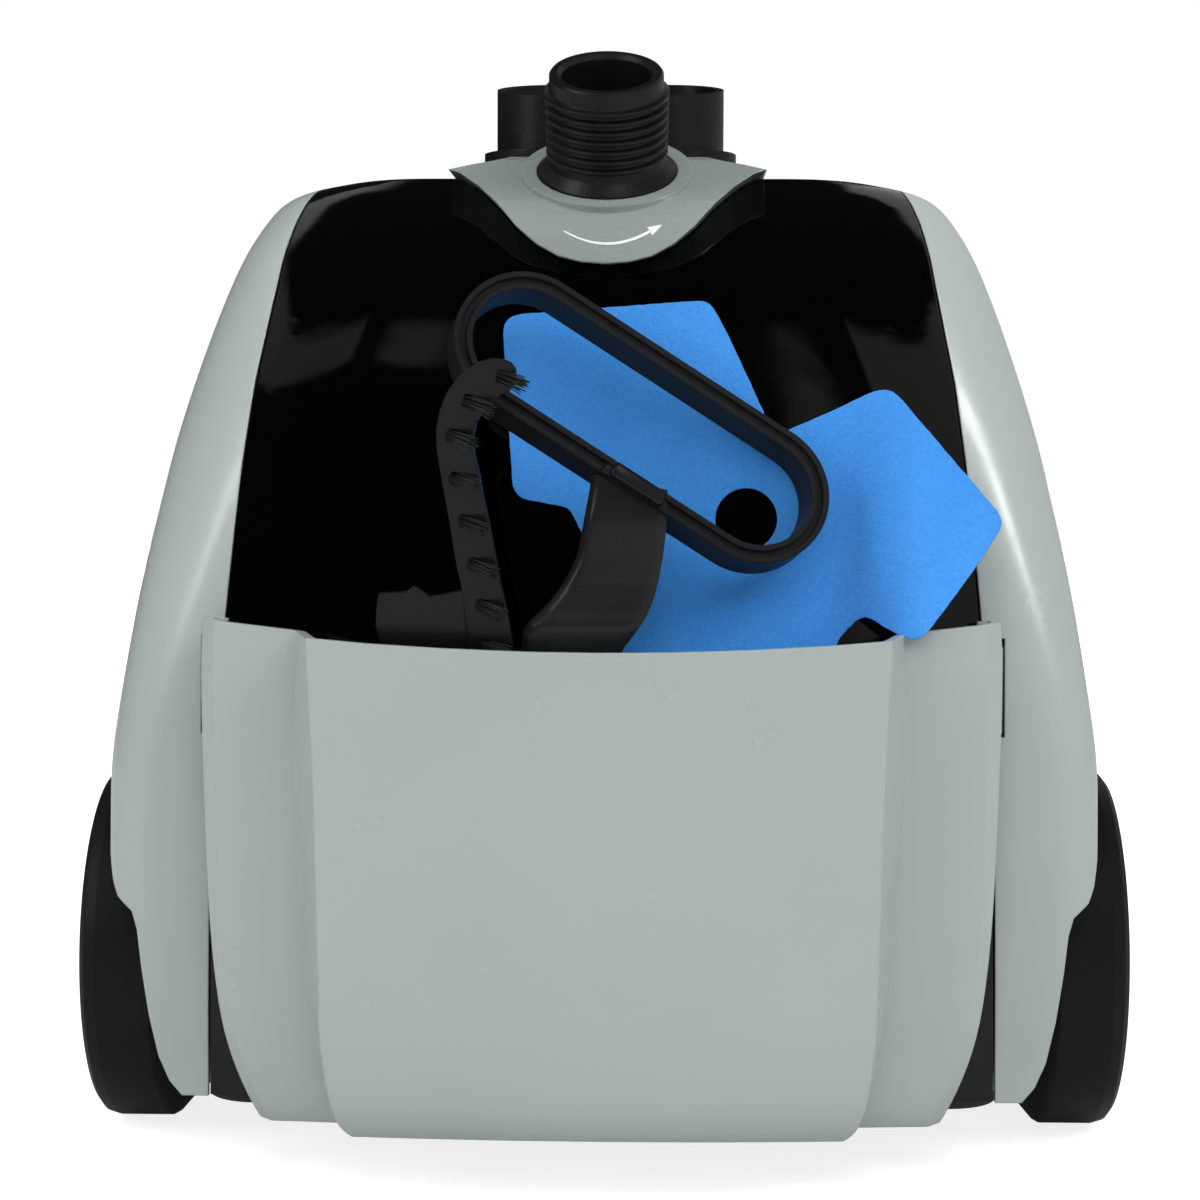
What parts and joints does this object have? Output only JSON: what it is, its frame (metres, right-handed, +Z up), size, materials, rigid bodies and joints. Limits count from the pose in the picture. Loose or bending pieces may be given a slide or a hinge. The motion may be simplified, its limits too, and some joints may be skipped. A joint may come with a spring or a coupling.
{
  "type": "garment steamer base unit",
  "caption": "Wheeled garment steamer base with a hose port, pole socket, water tank and a front bin of accessories.",
  "frame": {"origin": "on the floor, below the centre of the bounding box", "axes": "+X to the right seen from the bin side, +Y from the bin to the tank, +Z up"},
  "size_m": [0.3276, 0.2812, 0.3446],
  "materials": {
    "shell_grey": "satin",
    "panel_black": "gloss",
    "cover_black": "matte",
    "port_black": "satin",
    "accessory_black": "satin",
    "strap_black": "satin",
    "bristle_black": "matte",
    "wheel_black": "satin",
    "hub_black": "satin",
    "rubber_dark": "matte",
    "tank_smoke": "gloss",
    "tank_cap_black": "satin",
    "button_grey": "satin",
    "lens_red": "gloss",
    "cast_aluminium": "cast",
    "steel": "plated",
    "ceramic_white": "glazed",
    "wire_cover": "matte",
    "foam_blue": "matte"
  },
  "bodies": {
    "housing": {"front_panel": "panel_black", "top_yoke": "shell_grey", "right_shell": "shell_grey", "left_shell": "shell_grey", "rear_cover": "cover_black", "base_pan": "cover_black", "pole_collar": "port_black", "pole_socket": "cover_black", "steam_port": "port_black", "port_seal": "rubber_dark", "port_nut": "cover_black", "steam_riser": "rubber_dark", "boiler_body": "cast_aluminium", "boiler_gasket": "rubber_dark", "boiler_lid": "cast_aluminium", "lid_screws": "steel", "heating_element": "steel", "thermostat": "steel", "thermal_fuse": "ceramic_white", "inlet_cup": "cover_black", "tank_seal": "rubber_dark", "feed_hose": "rubber_dark", "switch_body": "cover_black", "indicator_lens": "lens_red", "cord_gland": "rubber_dark", "terminal_block": "cover_black", "wiring": "wire_cover", "axle_pins": "steel", "axle_spacers": "cover_black", "base_screws": "steel", "boiler_screws": "steel"},
    "left_wheel_body": {"left_wheel": "wheel_black", "left_hubcap": "hub_black"},
    "right_wheel_body": {"right_wheel": "wheel_black", "right_hubcap": "hub_black"},
    "left_fork_body": {"left_caster_fork": "cover_black"},
    "right_fork_body": {"right_caster_fork": "cover_black"},
    "left_roller_body": {"left_caster_wheel": "wheel_black"},
    "right_roller_body": {"right_caster_wheel": "wheel_black"},
    "tank_body": {"water_tank": "tank_smoke"},
    "cap_body": {"tank_cap": "tank_cap_black"},
    "valve_body": {"valve_pin": "tank_cap_black"},
    "drain_body": {"drain_plug": "tank_cap_black"},
    "button_body": {"power_button": "button_grey"},
    "bin_body": {"accessory_bin": "shell_grey"},
    "attachment_body": {"ring_frame": "accessory_black", "hook_strap": "strap_black"},
    "brush_body": {"brush_back": "accessory_black", "brush_tufts": "bristle_black"},
    "pad_body": {"foam_pad": "foam_blue"}
  },
  "joints": [
    {"name": "left_wheel_spin", "type": "hinge", "parent": "housing", "child": "left_wheel_body", "pos_m": [-0.147, -0.0156, 0.0575], "axis": [1, 0, 0], "continuous": true},
    {"name": "right_wheel_spin", "type": "hinge", "parent": "housing", "child": "right_wheel_body", "pos_m": [0.147, -0.0156, 0.0575], "axis": [1, 0, 0], "continuous": true},
    {"name": "left_caster_swivel", "type": "hinge", "parent": "housing", "child": "left_fork_body", "pos_m": [-0.072, 0.0964, 0.023], "axis": [0, 0, 1], "continuous": true},
    {"name": "left_caster_roll", "type": "hinge", "parent": "left_fork_body", "child": "left_roller_body", "pos_m": [-0.072, 0.1044, 0.0125], "axis": [1, 0, 0], "continuous": true},
    {"name": "right_caster_swivel", "type": "hinge", "parent": "housing", "child": "right_fork_body", "pos_m": [0.072, 0.0964, 0.023], "axis": [0, 0, 1], "continuous": true},
    {"name": "right_caster_roll", "type": "hinge", "parent": "right_fork_body", "child": "right_roller_body", "pos_m": [0.072, 0.1044, 0.0125], "axis": [1, 0, 0], "continuous": true},
    {"name": "tank_lift", "type": "slide", "parent": "housing", "child": "tank_body", "axis": [0, 0, 1], "range_m": [0, 0.3]},
    {"name": "tank_cap_turn", "type": "hinge", "parent": "tank_body", "child": "cap_body", "pos_m": [0, 0.0824, 0.077], "axis": [0, 0, -1], "range_deg": [0, 90]},
    {"name": "valve_lift", "type": "slide", "parent": "cap_body", "child": "valve_body", "axis": [0, 0, 1], "range_m": [0, 0.004], "stiffness_N_per_m": 250},
    {"name": "drain_turn", "type": "hinge", "parent": "housing", "child": "drain_body", "pos_m": [0, -0.0256, 0.017], "axis": [0, 0, -1], "range_deg": [0, 90]},
    {"name": "power_press", "type": "slide", "parent": "housing", "child": "button_body", "axis": [0, -1, 0], "range_m": [0, 0.003], "stiffness_N_per_m": 900},
    {"name": "bin_pull", "type": "slide", "parent": "housing", "child": "bin_body", "axis": [0, -1, 0], "range_m": [0, 0.12]},
    {"name": "attachment_lift", "type": "slide", "parent": "bin_body", "child": "attachment_body", "axis": [0, 0, 1], "range_m": [0, 0.22]},
    {"name": "brush_lift", "type": "slide", "parent": "bin_body", "child": "brush_body", "axis": [0, -0.158, 0.9874], "range_m": [0, 0.32]},
    {"name": "pad_lift", "type": "slide", "parent": "bin_body", "child": "pad_body", "axis": [0, 0.158, 0.9874], "range_m": [0, 0.26]}
  ]
}
